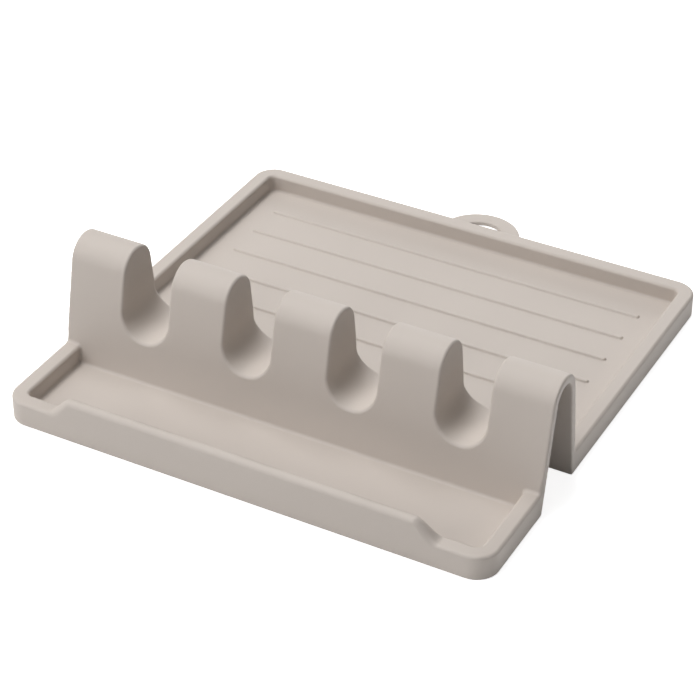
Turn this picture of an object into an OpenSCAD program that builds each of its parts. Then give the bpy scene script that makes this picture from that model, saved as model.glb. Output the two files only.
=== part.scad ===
// Utensil rest, moulded in one soft piece: a front trough with a raised lip, a hollow ridge
// with U-shaped slots for the handles, a ribbed drip tray for the heads, and a hanging loop.
// Drawn at real size in millimetres. +Z is up, +X runs along the ridge, +Y points to the loop.
// The origin is on the base plane, under the middle of the overall box.

/* [Trays] */
// Width of the whole rest, along the ridge
overall_w = 200; // [180:1:240]
// Thickness of both tray floors
floor_t = 2.8; // [2:0.1:4]
// Plan radius of the four outer corners
corner_r = 9; // [8.5:0.5:16]
// Depth of the front trough, from its front face to the foot of the ridge
trough_d = 41.7; // [34:0.1:60]
// Depth of the drip tray, from the foot of the ridge to its rear face
drip_d = 122; // [90:1:150]

/* [Rim] */
// Height of the rim above the base
rim_h = 10; // [8:0.5:13]
// Width of the rim
rim_w = 6.5; // [5:0.25:8]
// Rounding of the rim's two top edges
rim_round = 1.25; // [1:0.25:2.5]
// Fillet between the rim or the ridge and the tray floors
floor_round = 1.5; // [0.5:0.25:2]

/* [Front lip] */
// Height of the raised lip above the base
lip_h = 17.5; // [14:0.5:24]
// Length of the lip at full height
lip_len = 141; // [100:1:146]
// Length of each sloping end of the lip
lip_rise = 12; // [6:0.5:16]
// Width of the lip at its top
lip_w = 4.5; // [4:0.25:6]

/* [Ridge] */
// Height of the ridge above the base
ridge_h = 50.6; // [42:0.2:60]
// Depth of the ridge at its foot
ridge_d = 32.3; // [28:0.1:40]
// Outer radius of the ridge's crown
crown_r = 9.6; // [8:0.2:12]
// Distance from the ridge's front foot back to the middle of its crown
crown_back = 17; // [14:0.5:20]
// Thickness of the ridge's walls and of the saddles across it
ridge_wall = 3.5; // [2.5:0.1:4.5]

/* [Slots] */
// Number of slots for handles
slot_count = 4; // [2:1:4]
// Distance between the middles of two slots
slot_pitch = 44; // [38:0.1:46]
// Width of a slot
slot_w = 20; // [16:0.5:24]
// Height of a slot's lowest point above the base
slot_z = 18.4; // [12:0.2:24]
// Rounding where a slot's sides meet the crown
slot_round = 1.25; // [1:0.25:4]

/* [Drip ribs] */
// Number of ribs across the drip tray
rib_count = 6; // [3:1:6]
// Distance between two ribs
rib_pitch = 16.75; // [10:0.25:18]
// Distance from the drip tray's rear face to the first rib
rib_inset = 22.3; // [14:0.1:28]
// Length of a rib
rib_len = 166.5; // [120:0.5:170]
// Width of a rib
rib_w = 1.8; // [0.8:0.1:2.4]
// Height of a rib above the tray's floor
rib_h = 0.7; // [0.4:0.1:1.2]

/* [Hanging loop] */
// Outer radius of the loop
loop_r = 17.2; // [14:0.5:22]
// Radius of the loop's hole
loop_hole_r = 9.8; // [7:0.2:12]
// How far the loop reaches behind the drip tray
loop_reach = 21.4; // [16:0.1:26]
// Thickness of the loop
loop_t = 2; // [1.6:0.1:4]

/* [Hidden] */

silicone = [0.76, 0.72, 0.68];
round_steps = 6;
crown_steps = 20;
$fn = 96;

// How far a cutter reaches past the solid that it cuts
past = 1;
half_w = overall_w / 2;

// Y of each place along the rest, from front to back
rest_d = trough_d + ridge_d + drip_d + loop_reach;
front_y = -rest_d / 2;
foot_y = front_y + trough_d;
heel_y = foot_y + ridge_d;
rear_y = heel_y + drip_d;

// Centre of the crown's round, and of a slot's round bottom
crown_y = foot_y + crown_back;
crown_z = ridge_h - crown_r;
slot_r = slot_w / 2;
slot_round_z = slot_z + slot_r;

// The lip takes up this much of the front rim, on each side of the middle
lip_half = lip_len / 2 + lip_rise;

// Width of a rim with its fillet, which stays within the round of the tray's corner
fillet = min(floor_round, corner_r - rim_w);
wall_w = rim_w + fillet;

// Points of an arc round a centre, from one angle to another
function arc(cx, cy, r, from, to, steps) =
    [for (i = [0 : steps]) let (a = from + (to - from) * i / steps) [cx + r * cos(a), cy + r * sin(a)]];

// Cross-section of a wall: outer face at u = 0, both top edges rounded, and an inner face that
// slopes from the top's width out to the rim's width and ends in a fillet on the floor
function wall_section(h, top_w) = concat(
    [[0, 0]],
    arc(rim_round, h - rim_round, rim_round, 180, 90, round_steps),
    arc(top_w - rim_round, h - rim_round, rim_round, 90, 0, round_steps),
    arc(wall_w, floor_t + fillet, fillet, 180, 270, round_steps),
    [[wall_w, 0]]);

// Height share along the lip, from 0 at its outer end to 1 at full height, in an S
function lip_share(x) =
    let (t = min(1, max(0, (lip_half - abs(x)) / lip_rise))) t * t * (3 - 2 * t);

// Leans of the ridge's two faces: each starts at its foot and is tangent to the crown
function lean(run) = atan2(crown_z, run) + asin(crown_r / norm([run, crown_z]));
front_lean = lean(crown_back);
rear_lean = lean(ridge_d - crown_back);

// Y of a face that is tangent to the crown at radius r, at height z
function front_face(r, z) =
    crown_y - r / sin(front_lean) - (crown_z - z) / tan(front_lean);
function rear_face(r, z) =
    crown_y + r / sin(rear_lean) + (crown_z - z) / tan(rear_lean);

// Side view of the ridge at crown radius r, standing on height z
function ridge_section(r, z) = concat(
    [[front_face(r, z), z]],
    arc(crown_y, crown_z, r, 90 + front_lean, 90 - rear_lean, crown_steps),
    [[rear_face(r, z), z]]);

// Side view pushed out along X, centred, so that the view's axes become Y and Z
module along_x(length) {
    translate([-length / 2, 0, 0]) rotate([90, 0, 90]) linear_extrude(length) children();
}

// Front view pushed out along Y between two places, so that its axes become X and Z
module along_y(from, to) {
    translate([0, to, 0]) rotate([90, 0, 0]) linear_extrude(to - from) children();
}

// Solid of the ridge's outside, with nothing cut from it
module ridge_envelope(extra, z) {
    along_x(overall_w + 2 * extra) polygon(ridge_section(crown_r, z));
}

// Straight and round parts of a tray's rim. The tray's closed side lies along the X axis,
// and its sides run towards +Y for the tray's depth.
module tray_rim(depth) {
    along_x(overall_w - 2 * corner_r) polygon(wall_section(rim_h, rim_w));
    for (side = [0, 1]) mirror([side, 0, 0]) {
        translate([-half_w, 0, 0]) along_y(corner_r, depth) polygon(wall_section(rim_h, rim_w));
        translate([-half_w + corner_r, corner_r, 0]) rotate([0, 0, 180])
            rotate_extrude(angle = 90)
                polygon([for (p = wall_section(rim_h, rim_w)) [corner_r - p[0], p[1]]]);
    }
}

// Floor of a tray, which ends under the middle of the rim
module tray_floor(depth) {
    inset = rim_w / 2;
    round_r = corner_r - inset;
    linear_extrude(floor_t) union() {
        translate([-half_w + inset, corner_r]) square([overall_w - 2 * inset, depth - corner_r]);
        translate([-half_w + corner_r, inset]) square([overall_w - 2 * corner_r, corner_r]);
        for (x = [-half_w + corner_r, half_w - corner_r]) translate([x, corner_r]) circle(round_r);
    }
}

module tray(depth) {
    tray_floor(depth);
    tray_rim(depth);
}

// Fillet between a tray's floor and a face of the ridge. The middle of its round is at y, and
// the ridge lies on the given side of it.
module ridge_fillet(y, side) {
    along_x(overall_w - rim_w) translate([y, floor_t]) scale([side, 1]) difference() {
        square([2 * fillet, fillet]);
        translate([0, fillet]) circle(fillet);
    }
}

module front_tray() {
    // The sides run on into the ridge's sloping front face and are trimmed by it
    reach = trough_d + ridge_d / 2;
    color(silicone) difference() {
        union() {
            translate([0, front_y, 0]) tray(reach);
            ridge_fillet(front_face(crown_r + fillet, floor_t + fillet), 1);
        }
        ridge_envelope(past, -past);
        translate([-lip_half, front_y - past, -past])
            cube([2 * lip_half, wall_w + past, rim_h + 2 * past]);
    }
}

module front_lip() {
    // Cross-sections are close together in the two S-shaped ends, and far apart between them
    bend_steps = 12;
    xs = concat(
        [for (i = [0 : bend_steps]) -lip_half + lip_rise * i / bend_steps],
        [for (i = [0 : bend_steps]) lip_len / 2 + lip_rise * i / bend_steps]);
    sections = [for (x = xs) let (s = lip_share(x))
        wall_section(rim_h + (lip_h - rim_h) * s, rim_w + (lip_w - rim_w) * s)];
    n = len(sections[0]);
    last = len(xs) - 1;
    points = [for (i = [0 : last]) for (p = sections[i]) [xs[i], front_y + p[0], p[1]]];
    sides = [for (i = [0 : last - 1]) for (j = [0 : n - 1])
        let (k = (j + 1) % n, a = i * n, b = a + n)
        for (face = [[a + j, a + k, b + k], [a + j, b + k, b + j]]) face];
    ends = [for (j = [1 : n - 2])
        for (face = [[0, j + 1, j], [last * n, last * n + j, last * n + j + 1]]) face];
    color(silicone) polyhedron(points, concat(sides, ends), convexity = 4);
}

// Front view of a slot, or of the larger saddle that carries it: upright sides on a round bottom
module slot_view(r) {
    translate([0, slot_round_z]) circle(r);
    translate([-r, slot_round_z]) square([2 * r, ridge_h + past - slot_round_z]);
}

// Front view of the flares that round a slot's sides off into the crown
module flare_view() {
    reach = slot_r + slot_round;
    low = ridge_h - slot_round;
    top = ridge_h + past;
    for (side = [0, 1]) mirror([side, 0])
        polygon(concat(
            [[0, low]],
            arc(reach, low, slot_round, 180, 90, round_steps),
            [[reach, top], [0, top]]));
}

module at_slots() {
    for (i = [0 : slot_count - 1])
        translate([(i - (slot_count - 1) / 2) * slot_pitch, 0, 0]) children();
}

module slotted_ridge() {
    color(silicone) difference() {
        union() {
            difference() {
                ridge_envelope(0, 0);
                along_x(overall_w + 2 * past) polygon(ridge_section(crown_r - ridge_wall, -past));
            }
            intersection() {
                ridge_envelope(0, 0);
                at_slots() along_y(foot_y, heel_y) slot_view(slot_r + ridge_wall);
            }
        }
        at_slots() along_y(foot_y - past, heel_y + past) {
            slot_view(slot_r);
            flare_view();
        }
    }
}

module drip_tray() {
    reach = drip_d + ridge_d / 2;
    color(silicone) difference() {
        union() {
            translate([0, rear_y, 0]) mirror([0, 1, 0]) tray(reach);
            ridge_fillet(rear_face(crown_r + fillet, floor_t + fillet), -1);
        }
        ridge_envelope(past, -past);
    }
}

module drip_ribs() {
    straight = rib_len - rib_w;
    color(silicone) for (i = [0 : rib_count - 1])
        translate([0, rear_y - rib_inset - i * rib_pitch, floor_t]) linear_extrude(rib_h) {
            square([straight, rib_w], center = true);
            for (x = [-straight / 2, straight / 2]) translate([x, 0]) circle(rib_w / 2);
        }
}

module hanging_loop() {
    centre = loop_reach - loop_r;
    color(silicone) translate([0, rear_y, 0]) linear_extrude(loop_t) difference() {
        union() {
            translate([0, centre]) circle(loop_r);
            translate([-loop_r, 0]) square([2 * loop_r, centre]);
        }
        translate([0, centre]) circle(loop_hole_r);
        translate([-loop_r - past, -loop_r]) square([2 * (loop_r + past), loop_r]);
    }
}

front_tray();
front_lip();
slotted_ridge();
drip_tray();
drip_ribs();
hanging_loop();
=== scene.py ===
"""Utensil rest in soft silicone: smooth pieces over the CAD frame, a pale floor and studio light.

All shape values are millimetres in the CAD frame; meshes are turned into metres at the end.
The moulding is one signed distance field. Each node's piece is the part of it between flat cuts.
"""

import math

import bmesh
import bpy
import numpy as np
from mathutils import Matrix, Vector


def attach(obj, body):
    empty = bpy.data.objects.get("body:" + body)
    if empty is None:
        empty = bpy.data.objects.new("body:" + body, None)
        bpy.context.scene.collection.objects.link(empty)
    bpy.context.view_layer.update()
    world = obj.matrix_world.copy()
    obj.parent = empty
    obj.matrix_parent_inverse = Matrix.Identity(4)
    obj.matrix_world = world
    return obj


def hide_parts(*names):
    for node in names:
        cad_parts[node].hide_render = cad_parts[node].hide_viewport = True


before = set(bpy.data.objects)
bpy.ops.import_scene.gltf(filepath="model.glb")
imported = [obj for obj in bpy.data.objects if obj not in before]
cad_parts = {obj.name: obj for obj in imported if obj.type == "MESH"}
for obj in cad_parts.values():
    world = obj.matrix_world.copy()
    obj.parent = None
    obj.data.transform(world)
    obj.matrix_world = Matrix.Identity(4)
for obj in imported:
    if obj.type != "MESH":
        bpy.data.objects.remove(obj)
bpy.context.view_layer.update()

MM = 0.001

# Places along the rest, from front to back
HALF_W = 100.0
FRONT = -108.7
FOOT = FRONT + 41.7
HEEL = FOOT + 32.3
REAR = HEEL + 122.0
# The ridge's front face comes down to the table here, and its rear face at the heel
TOE = FOOT - 1.2

# Trays: floor, outer corners and rim
FLOOR_T = 2.8
CORNER_R = 9.0
RIM_H = 10.0
RIM_W = 6.5
RIM_ROUND = 1.35
FLOOR_FILLET = 1.0
FOOT_FILLET = 1.1
INNER_CORNER_R = CORNER_R - RIM_W
UNDER_ROUND = 0.5

# The lip is at its full height to LIP_HALF on both sides and sweeps down to the rim over LIP_RISE
LIP_H = 17.5
LIP_HALF = 70.5
LIP_RISE = 10.0
LIP_TAPER = 2.0
TAPER_LIMIT = 1.2
LIP_ROUND = 1.9
# What the middle of a sweep is rounded more than the lip and the rim
SWEEP_ROUND = 1.0
# The lip has no effect behind this place
LIP_ZONE = FRONT + 25.0
# Where the solids' lip meets the front tray
LIP_END = 82.5

RIDGE_H = 50.598
CROWN_R = 9.6
CROWN_Y = FOOT + 17.0
CROWN_Z = RIDGE_H - CROWN_R
WALL = 3.5
SADDLE_ROUND = 1.5
HOLLOW_EDGE = 0.5
# Above END_LOW the ridge's open ends are rounded less than the rims
END_LESS = 0.55
END_LOW = 12.0
END_SPAN = 4.0

SLOT_XS = (22.0, 66.0)
SLOT_R = 10.0
SLOT_ROUND_Z = 18.7 + SLOT_R
SLOT_EDGE = 1.1
# The low rear part of a slot's edge is rounded more by this
SLOT_HEEL = 1.0
HEEL_RUN = 5.0
HEEL_TOP = SLOT_ROUND_Z + 2
HEEL_DROP = 6.0

LOOP_R = 17.2
LOOP_HOLE_R = 9.2
LOOP_Y = REAR + 4.2
LOOP_HOLE_Y = REAR + 5.6
LOOP_T = 1.8
LOOP_ROUND = 0.5
LOOP_UNDER_ROUND = 0.4

RIB_LEN = 166.5
RIB_W = 1.8
RIB_COUNT = 6
RIB_INSET = 22.3
RIB_PITCH = 16.75
# A rib's profile from the floor up: how far inside the rib's width, and how high
RIB_RINGS = (
    (-0.32, 0.0), (-0.15, 0.05), (-0.03, 0.15), (0.03, 0.31),
    (0.1, 0.45), (0.2, 0.57), (0.4, 0.66), (0.63, 0.7))
RIB_ARC = 10

# Flat cuts between the pieces, a little clear of the fillets
FRONT_CUT = FOOT - 3.5
BACK_CUT = HEEL + 3.5
LIP_CUT = FRONT + RIM_W + 2.5

# Steps of the surface search, and when a point counts as lying on a cut
SETTLE_ROUNDS = 5
SETTLE_MOST = 0.4
SLOPE_REACH = 0.01
LEAST_SLOPE = 0.1
SHADE_REACH = 0.03
ON_CUT = 1e-3
MERGE = 1e-5


def joined(a, b, r):
    """Union of two fields with a fillet of radius r."""
    sides = np.hypot(np.maximum(r - a, 0), np.maximum(r - b, 0))
    return np.maximum(r, np.minimum(a, b)) - sides


def common(a, b, r):
    """Intersection of two fields with edges rounded to radius r."""
    sides = np.hypot(np.maximum(r + a, 0), np.maximum(r + b, 0))
    return np.minimum(-r, np.maximum(a, b)) + sides


def smooth(t):
    """From 0 to 1 in an S, level at both ends."""
    t = np.clip(t, 0, 1)
    return t * t * (3 - 2 * t)


def rounded_rect(x, y, half_x, half_y, r):
    qx = np.abs(x) - half_x + r
    qy = np.abs(y) - half_y + r
    return np.minimum(np.maximum(qx, qy), 0) + np.hypot(np.maximum(qx, 0), np.maximum(qy, 0)) - r


def lean(run):
    """Angle of a face that starts on the table at this distance and touches the crown."""
    return math.atan2(CROWN_Z, run) + math.asin(CROWN_R / math.hypot(run, CROWN_Z))


FRONT_LEAN = lean(CROWN_Y - TOE)
REAR_LEAN = lean(HEEL - CROWN_Y)


def ridge_side(y, z):
    """Outside of the ridge seen from its end: two leaning faces under a round crown."""
    qy, qz = y - CROWN_Y, z - CROWN_Z
    front = -math.sin(FRONT_LEAN) * qy + math.cos(FRONT_LEAN) * qz
    rear = math.sin(REAR_LEAN) * qy + math.cos(REAR_LEAN) * qz
    above_front = math.cos(FRONT_LEAN) * qy + math.sin(FRONT_LEAN) * qz
    above_rear = -math.cos(REAR_LEAN) * qy + math.sin(REAR_LEAN) * qz
    crown = (above_front > 0) & (above_rear > 0)
    return np.where(crown, np.hypot(qy, qz), np.maximum(front, rear)) - CROWN_R


def slots(x, z):
    """Slots seen from the front: upright sides on round bottoms."""
    low = np.minimum(z - SLOT_ROUND_Z, 0)
    inner, outer = SLOT_XS
    near = np.minimum(np.abs(np.abs(x) - outer), np.abs(np.abs(x) - inner))
    return np.hypot(near, low) - SLOT_R


def moulding(x, y, z):
    """The whole rest without its ribs and loop."""
    mid = (FRONT + REAR) / 2
    half_d = (REAR - FRONT) / 2
    at_lip = y < LIP_ZONE
    lip_rise = LIP_H - RIM_H
    bend = np.clip((LIP_HALF + LIP_RISE - np.abs(x)) / LIP_RISE, 0, 1)
    share = np.where(at_lip, smooth(bend), 0)
    # The pocket's front side leans, so that the lip gets thinner towards its top
    climb = np.clip((z - FLOOR_T) / (LIP_H - RIM_ROUND - FLOOR_T), 0, TAPER_LIMIT)
    taper = LIP_TAPER * share * climb
    pocket = rounded_rect(x, y + taper - mid, HALF_W - RIM_W, half_d - RIM_W, INNER_CORNER_R)
    outline = rounded_rect(x, y - mid, HALF_W, half_d, CORNER_R)
    # Divided by the sweep's slope, the height over the top is a true distance there too
    slope = np.where(at_lip, 6 * bend * (1 - bend) * lip_rise / LIP_RISE, 0)
    top = (z - RIM_H - lip_rise * share) / np.sqrt(1 + slope * slope)
    in_sweep = np.where(at_lip, SWEEP_ROUND * 4 * bend * (1 - bend), 0)
    rounding = RIM_ROUND + (LIP_ROUND - RIM_ROUND) * share + in_sweep
    trays = joined(common(-pocket, top, rounding), z - FLOOR_T, FLOOR_FILLET)

    side = ridge_side(y, z)
    slot = slots(x, z)
    softer = smooth((y - CROWN_Y) / HEEL_RUN) * smooth((HEEL_TOP - z) / HEEL_DROP)
    ridge = common(side, -slot, SLOT_EDGE + SLOT_HEEL * softer)
    solid = joined(trays, ridge, FOOT_FILLET)
    at_end = np.where(y > LIP_ZONE, END_LESS * smooth((z - END_LOW) / END_SPAN), 0)
    solid = common(solid, outline, rounding - at_end)
    hollow = common(side + WALL, WALL - slot, SADDLE_ROUND)
    solid = common(solid, -hollow, HOLLOW_EDGE)
    return common(solid, -z, UNDER_ROUND)


def loop(x, y, z):
    """Flat hanging loop behind the drip tray; its straight side is cut later."""
    back = np.maximum(y - LOOP_Y, 0)
    outer = np.hypot(x, back) - LOOP_R
    hole = np.hypot(x, y - LOOP_HOLE_Y) - LOOP_HOLE_R
    ring = np.maximum(outer, -hole)
    return common(common(ring, z - LOOP_T, LOOP_ROUND), -z, LOOP_UNDER_ROUND)


def steps(*spans):
    """Grid lines: each span is (from, to, spacing)."""
    lines = [spans[0][0]]
    for start, end, gap in spans:
        count = max(1, round((end - start) / gap))
        lines.extend(start + (end - start) * (i + 1) / count for i in range(count))
    return np.array(lines)


def mirrored(*spans):
    """Grid lines of spans that start at 0, with their mirror images."""
    half = steps(*spans)
    return np.concatenate([-half[::-1][:-1], half])


def surface_net(field, xs, ys, zs):
    """Quads of the surface where the field is 0, from the grid of these lines."""
    lines = (xs, ys, zs)
    grid = field(xs[:, None, None], ys[None, :, None], zs[None, None, :])
    inside = grid < 0
    nx, ny, nz = (n - 1 for n in grid.shape)
    count = np.zeros((nx, ny, nz), np.int8)
    for i in (0, 1):
        for j in (0, 1):
            for k in (0, 1):
                count += inside[i:nx + i, j:ny + j, k:nz + k]
    cells = np.argwhere((count > 0) & (count < 8))
    number = np.full(count.shape, -1)
    number[tuple(cells.T)] = np.arange(len(cells))
    # Each cell's point is the mean of the places where the surface cuts the cell's edges
    total = np.zeros((len(cells), 3))
    hits = np.zeros(len(cells))
    for axis in range(3):
        b, c = (axis + 1) % 3, (axis + 2) % 3
        for i in (0, 1):
            for j in (0, 1):
                low = cells.copy()
                low[:, b] += i
                low[:, c] += j
                high = low.copy()
                high[:, axis] += 1
                f0, f1 = grid[tuple(low.T)], grid[tuple(high.T)]
                cut = (f0 < 0) != (f1 < 0)
                share = np.where(cut, f0 / np.where(cut, f0 - f1, 1), 0)
                point = np.stack([lines[d][low[:, d]] for d in range(3)], 1)
                point[:, axis] += share * (lines[axis][high[:, axis]] - lines[axis][low[:, axis]])
                total += point * cut[:, None]
                hits += cut
    # Each grid edge that the surface cuts gives one quad of the four cells around it
    quads = []
    for axis in range(3):
        b, c = (axis + 1) % 3, (axis + 2) % 3
        first = np.moveaxis(np.moveaxis(inside, axis, 0)[:-1], 0, axis)
        second = np.moveaxis(np.moveaxis(inside, axis, 0)[1:], 0, axis)
        at = np.argwhere(first != second)
        within = (at[:, b] > 0) & (at[:, c] > 0)
        within &= (at[:, b] < grid.shape[b] - 1) & (at[:, c] < grid.shape[c] - 1)
        at = at[within]
        ring = []
        for i, j in ((-1, -1), (0, -1), (0, 0), (-1, 0)):
            cell = at.copy()
            cell[:, b] += i
            cell[:, c] += j
            ring.append(number[tuple(cell.T)])
        ring = np.stack(ring, 1)
        outward = first[tuple(at.T)]
        ring[~outward] = ring[~outward][:, ::-1]
        quads.append(ring)
    return settled(field, total / hits[:, None]), np.concatenate(quads)


def gradient(field, points, reach):
    """The field's slope at the points, from its values this far to both sides."""
    slope = np.empty_like(points)
    for axis in range(3):
        step = np.zeros(3)
        step[axis] = reach
        slope[:, axis] = (field(*(points + step).T) - field(*(points - step).T)) / (2 * reach)
    return slope


def settled(field, points):
    """The points moved onto the surface."""
    for _ in range(SETTLE_ROUNDS):
        slope = gradient(field, points, SLOPE_REACH)
        length = np.maximum((slope * slope).sum(1), LEAST_SLOPE)
        move = np.clip(field(*points.T) / length, -SETTLE_MOST, SETTLE_MOST)
        points = points - move[:, None] * slope
    return points


def shell(name, net, cuts):
    """Closed mesh of the net's part behind each cut, given as (axis, place, which side goes).

    Returns its vertices, its faces, and for each face whether it lies on a cut.
    """
    def lies_on(verts, axis, place):
        return all(abs(v.co[axis] - place) < ON_CUT for v in verts)

    verts, quads = net
    mesh = bpy.data.meshes.new(name)
    mesh.from_pydata(verts.tolist(), [], quads.tolist())
    bm = bmesh.new()
    bm.from_mesh(mesh)
    for axis, place, sign in cuts:
        point, normal = Vector((0, 0, 0)), Vector((0, 0, 0))
        point[axis] = place
        normal[axis] = sign
        geom = bm.verts[:] + bm.edges[:] + bm.faces[:]
        bmesh.ops.bisect_plane(
            bm, geom=geom, dist=MERGE, plane_co=point, plane_no=normal, clear_outer=True)
        rim = [e for e in bm.edges if e.is_boundary and lies_on(e.verts, axis, place)]
        made = bmesh.ops.holes_fill(bm, edges=rim, sides=0)["faces"]
        bmesh.ops.triangulate(bm, faces=made)
    loose = [v for v in bm.verts if not v.link_faces]
    bmesh.ops.delete(bm, geom=loose, context="VERTS")
    bm.verts.index_update()
    out_verts = np.array([v.co[:] for v in bm.verts])
    out_faces = [[v.index for v in f.verts] for f in bm.faces]
    flat = [any(lies_on(f.verts, axis, place) for axis, place, _ in cuts) for f in bm.faces]
    open_edges = sum(e.is_boundary for e in bm.edges)
    if open_edges:
        print("note:", name, "has", open_edges, "open edges")
    bm.free()
    bpy.data.meshes.remove(mesh)
    return out_verts, out_faces, flat


def placed(name, node, mesh):
    """One object of the rest, which stands for a CAD node."""
    obj = bpy.data.objects.new(name, mesh)
    bpy.context.scene.collection.objects.link(obj)
    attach(obj, "root")
    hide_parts(node)


def piece(name, node, field, shells, material):
    """One object from closed shells, shaded with the field's own normals."""
    verts, faces, flat, base = [], [], [], 0
    for part_verts, part_faces, part_flat in shells:
        verts.append(part_verts)
        faces.extend([[i + base for i in f] for f in part_faces])
        flat.extend(part_flat)
        base += len(part_verts)
    points = np.concatenate(verts)
    mesh = bpy.data.meshes.new(name)
    mesh.from_pydata((points * MM).tolist(), [], faces)
    mesh.polygons.foreach_set("use_smooth", [not f for f in flat])
    mesh.materials.append(material)
    slope = gradient(field, points, SHADE_REACH)
    slope /= np.maximum(np.linalg.norm(slope, axis=1), 1e-6)[:, None]
    loop_vert = np.empty(len(mesh.loops), int)
    mesh.loops.foreach_get("vertex_index", loop_vert)
    normals = slope[loop_vert]
    for polygon in mesh.polygons:
        if flat[polygon.index]:
            normals[list(polygon.loop_indices)] = polygon.normal
    mesh.normals_split_custom_set(normals.tolist())
    placed(name, node, mesh)


def ribs(name, node, material):
    """Low rounded ribs that flare out a little where they meet the tray's floor."""
    verts, faces = [], []
    half = (RIB_LEN - RIB_W) / 2
    n = 2 * (RIB_ARC + 1)
    for rib in range(RIB_COUNT):
        y = REAR - RIB_INSET - RIB_PITCH * rib
        base = len(verts)
        for inset, z in RIB_RINGS:
            r = RIB_W / 2 - inset
            for side in (1, -1):
                for i in range(RIB_ARC + 1):
                    a = -math.pi / 2 + math.pi * i / RIB_ARC
                    x = side * (half + r * math.cos(a))
                    verts.append((x, y + side * r * math.sin(a), FLOOR_T + z))
        for k in range(len(RIB_RINGS) - 1):
            low, high = base + k * n, base + (k + 1) * n
            for i in range(n):
                after = (i + 1) % n
                faces.append((low + i, low + after, high + after, high + i))
        faces.append(tuple(base + n - 1 - i for i in range(n)))
        faces.append(tuple(base + (len(RIB_RINGS) - 1) * n + i for i in range(n)))
    mesh = bpy.data.meshes.new(name)
    mesh.from_pydata([tuple(c * MM for c in v) for v in verts], [], faces)
    mesh.polygons.foreach_set("use_smooth", [len(f) == 4 for f in faces])
    mesh.materials.append(material)
    placed(name, node, mesh)


def silicone():
    """Matt moulded silicone: a warm light grey that varies a little, with a fine grain."""
    mat = bpy.data.materials.new("silicone")
    mat.use_nodes = True
    nodes, links = mat.node_tree.nodes, mat.node_tree.links
    shader = nodes["Principled BSDF"]
    shader.inputs["Specular IOR Level"].default_value = 0.35
    place = nodes.new("ShaderNodeTexCoord")
    cloud = nodes.new("ShaderNodeTexNoise")
    cloud.inputs["Scale"].default_value = 14.0
    cloud.inputs["Detail"].default_value = 3.0
    links.new(place.outputs["Object"], cloud.inputs["Vector"])
    colour = nodes.new("ShaderNodeValToRGB")
    darker, lighter = colour.color_ramp.elements
    darker.position = 0.3
    darker.color = (0.556, 0.501, 0.456, 1)
    lighter.position = 0.7
    lighter.color = (0.577, 0.520, 0.474, 1)
    links.new(cloud.outputs["Fac"], colour.inputs["Fac"])
    links.new(colour.outputs["Color"], shader.inputs["Base Color"])
    rough = nodes.new("ShaderNodeMapRange")
    rough.inputs["To Min"].default_value = 0.52
    rough.inputs["To Max"].default_value = 0.62
    links.new(cloud.outputs["Fac"], rough.inputs["Value"])
    links.new(rough.outputs["Result"], shader.inputs["Roughness"])
    grain = nodes.new("ShaderNodeTexNoise")
    grain.inputs["Scale"].default_value = 1800.0
    grain.inputs["Detail"].default_value = 2.0
    links.new(place.outputs["Object"], grain.inputs["Vector"])
    bump = nodes.new("ShaderNodeBump")
    bump.inputs["Strength"].default_value = 0.12
    bump.inputs["Distance"].default_value = 0.00006
    links.new(grain.outputs["Fac"], bump.inputs["Height"])
    links.new(bump.outputs["Normal"], shader.inputs["Normal"])
    return mat


rubber = silicone()

# Grid lines lie close where the surface bends, and far apart over flat stretches
front_net = surface_net(
    moulding,
    mirrored((0, 69, 5.5), (69, 84, 0.8), (84, 90.5, 2), (90.5, 100.6, 0.5)),
    steps((FRONT - 0.6, FRONT + 9.6, 0.45), (FRONT + 9.6, FRONT + 33, 4), (FRONT + 33, FRONT + 41, 1.6)),
    steps((-0.5, 4.6, 0.4), (4.6, 8, 0.6), (8, 18.1, 0.4)))
floor_y = (1, LIP_CUT, -1)
strip_y = (1, LIP_CUT, 1)
front_y = (1, FRONT_CUT, 1)
piece("front_tray", "front_tray", moulding, [
    shell("tray_floor", front_net, [front_y, floor_y]),
    shell("tray_left", front_net, [strip_y, (0, -LIP_END, 1)]),
    shell("tray_right", front_net, [strip_y, (0, LIP_END, -1)])], rubber)
piece("front_lip", "front_lip", moulding, [
    shell("lip", front_net, [strip_y, (0, -LIP_END, -1), (0, LIP_END, 1)])], rubber)

ridge_net = surface_net(
    moulding,
    mirrored(
        (0, 7, 1.4), (7, 10.5, 0.8), (10.5, 16, 0.55), (16, 28, 0.9), (28, 33.5, 0.55),
        (33.5, 37, 0.8), (37, 51, 1.4), (51, 54.5, 0.8), (54.5, 60, 0.55), (60, 72, 0.9),
        (72, 77.5, 0.55), (77.5, 81, 0.8), (81, 91, 1.4), (91, 95.6, 0.55), (95.6, 98, 0.8),
        (98, 100.6, 0.52)),
    steps((FOOT - 6, FOOT - 3, 1), (FOOT - 3, HEEL + 3, 0.6), (HEEL + 3, HEEL + 6, 1)),
    steps((-0.5, 4.5, 0.55), (4.5, 8, 1.1), (8, 11, 0.55), (11, 13.5, 1.2),
          (13.5, 30.5, 0.64), (30.5, 40.5, 1.2), (40.5, 51.1, 0.6)))
piece("slotted_ridge", "slotted_ridge", moulding, [
    shell("ridge", ridge_net, [(1, BACK_CUT, 1), (1, FRONT_CUT, -1)])], rubber)

drip_net = surface_net(
    moulding,
    mirrored((0, 90, 5), (90, 100.6, 0.55)),
    steps((HEEL + 1, HEEL + 9, 1.6), (HEEL + 9, REAR - 10, 4.5), (REAR - 10, REAR + 0.6, 0.5)),
    steps((-0.5, 4.6, 0.4), (4.6, 8, 0.6), (8, 10.6, 0.35)))
piece("drip_tray", "drip_tray", moulding, [
    shell("drip", drip_net, [(1, BACK_CUT, -1)])], rubber)

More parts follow.
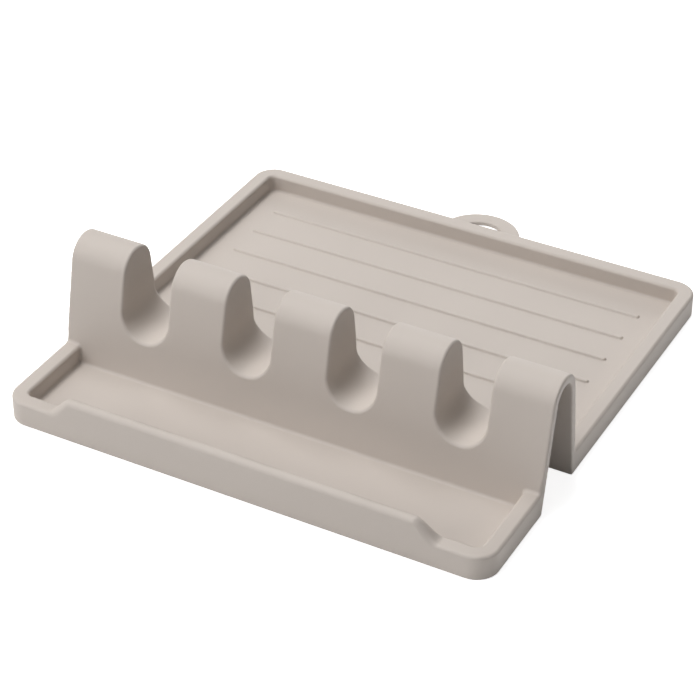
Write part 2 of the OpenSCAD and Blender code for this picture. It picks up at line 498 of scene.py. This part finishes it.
loop_net = surface_net(
    loop,
    mirrored((0, 18.1, 0.55)),
    steps((REAR - 3, REAR + 22, 0.5)),
    steps((-0.4, 2.4, 0.28)))
piece("hanging_loop", "hanging_loop", loop, [
    shell("loop", loop_net, [(1, REAR, -1)])], rubber)
ribs("drip_ribs", "drip_ribs", rubber)


def backdrop():
    """Pale floor: plain white to the camera apart from the object's shadow, and pale to the light."""
    bpy.ops.mesh.primitive_plane_add(size=8.0, location=(0, 0, -0.0002))
    ground = bpy.context.object
    ground.name = "floor"
    mat = bpy.data.materials.new("floor")
    mat.use_nodes = True
    nodes, links = mat.node_tree.nodes, mat.node_tree.links
    nodes.clear()
    out = nodes.new("ShaderNodeOutputMaterial")
    diffuse = nodes.new("ShaderNodeBsdfDiffuse")
    diffuse.inputs["Color"].default_value = (0.8, 0.8, 0.8, 1)
    glow = nodes.new("ShaderNodeEmission")
    glow.inputs["Color"].default_value = (1, 1, 1, 1)
    glow.inputs["Strength"].default_value = 0.84
    path = nodes.new("ShaderNodeLightPath")
    seen = path.outputs["Is Camera Ray"]
    for ray in ("Is Glossy Ray", "Is Transmission Ray"):
        either = nodes.new("ShaderNodeMath")
        either.operation = "MAXIMUM"
        links.new(seen, either.inputs[0])
        links.new(path.outputs[ray], either.inputs[1])
        seen = either.outputs[0]
    both = nodes.new("ShaderNodeAddShader")
    links.new(diffuse.outputs[0], both.inputs[0])
    links.new(glow.outputs[0], both.inputs[1])
    mix = nodes.new("ShaderNodeMixShader")
    links.new(seen, mix.inputs["Fac"])
    links.new(diffuse.outputs[0], mix.inputs[1])
    links.new(both.outputs[0], mix.inputs[2])
    links.new(mix.outputs[0], out.inputs["Surface"])
    ground.data.materials.append(mat)


def lamp(name, place, size, energy):
    """Soft rectangular lamp that points at the object."""
    data = bpy.data.lights.new(name, "AREA")
    data.shape = "RECTANGLE"
    data.size, data.size_y = size
    data.energy = energy
    obj = bpy.data.objects.new(name, data)
    obj.location = place
    aim = Vector((0, 0, 0.01)) - Vector(place)
    obj.rotation_euler = aim.to_track_quat("-Z", "Y").to_euler()
    bpy.context.scene.collection.objects.link(obj)


def studio():
    """Faint light from all sides, white to the camera, and four lamps."""
    world = bpy.data.worlds.new("studio")
    bpy.context.scene.world = world
    world.use_nodes = True
    nodes, links = world.node_tree.nodes, world.node_tree.links
    nodes.clear()
    out = nodes.new("ShaderNodeOutputWorld")
    light = nodes.new("ShaderNodeBackground")
    light.inputs["Color"].default_value = (1, 1, 1, 1)
    light.inputs["Strength"].default_value = 0.085
    white = nodes.new("ShaderNodeBackground")
    white.inputs["Color"].default_value = (1, 1, 1, 1)
    white.inputs["Strength"].default_value = 1.0
    path = nodes.new("ShaderNodeLightPath")
    mix = nodes.new("ShaderNodeMixShader")
    links.new(path.outputs["Is Camera Ray"], mix.inputs["Fac"])
    links.new(light.outputs[0], mix.inputs[1])
    links.new(white.outputs[0], mix.inputs[2])
    links.new(mix.outputs[0], out.inputs["Surface"])
    lamp("key", (-0.5, -0.05, 1.66), (1.6, 0.75), 24.7)
    lamp("front", (-0.88, -1.28, 0.85), (1.0, 1.0), 11.0)
    lamp("back", (-0.3, 1.64, 0.67), (1.0, 1.0), 9.5)
    lamp("right", (1.68, 0.0, 0.62), (0.8, 0.8), 1.95)


def camera():
    """The camera of the photograph, found by fitting the rest's edges."""
    azimuth, elevation, roll = math.radians(28.0), math.radians(34.7), math.radians(0.45)
    distance = 0.91204
    target = Vector((-0.00827, -0.00658, 0))
    sensor = 36.0
    focal_px = 2337.8
    picture_px = 700
    back = Vector((math.sin(azimuth) * math.cos(elevation),
                   -math.cos(azimuth) * math.cos(elevation), math.sin(elevation)))
    right = Vector((math.cos(azimuth), math.sin(azimuth), 0))
    up = back.cross(right)
    x = math.cos(roll) * right + math.sin(roll) * up
    y = -math.sin(roll) * right + math.cos(roll) * up
    data = bpy.data.cameras.new("camera")
    data.sensor_width = sensor
    data.lens = sensor * focal_px / picture_px
    data.clip_end = 50.0
    obj = bpy.data.objects.new("camera", data)
    turn = Matrix((x, y, back)).transposed().to_4x4()
    obj.matrix_world = Matrix.Translation(target + back * distance) @ turn
    bpy.context.scene.collection.objects.link(obj)
    bpy.context.scene.camera = obj


backdrop()
studio()
camera()
bpy.context.scene.view_settings.view_transform = "Standard"
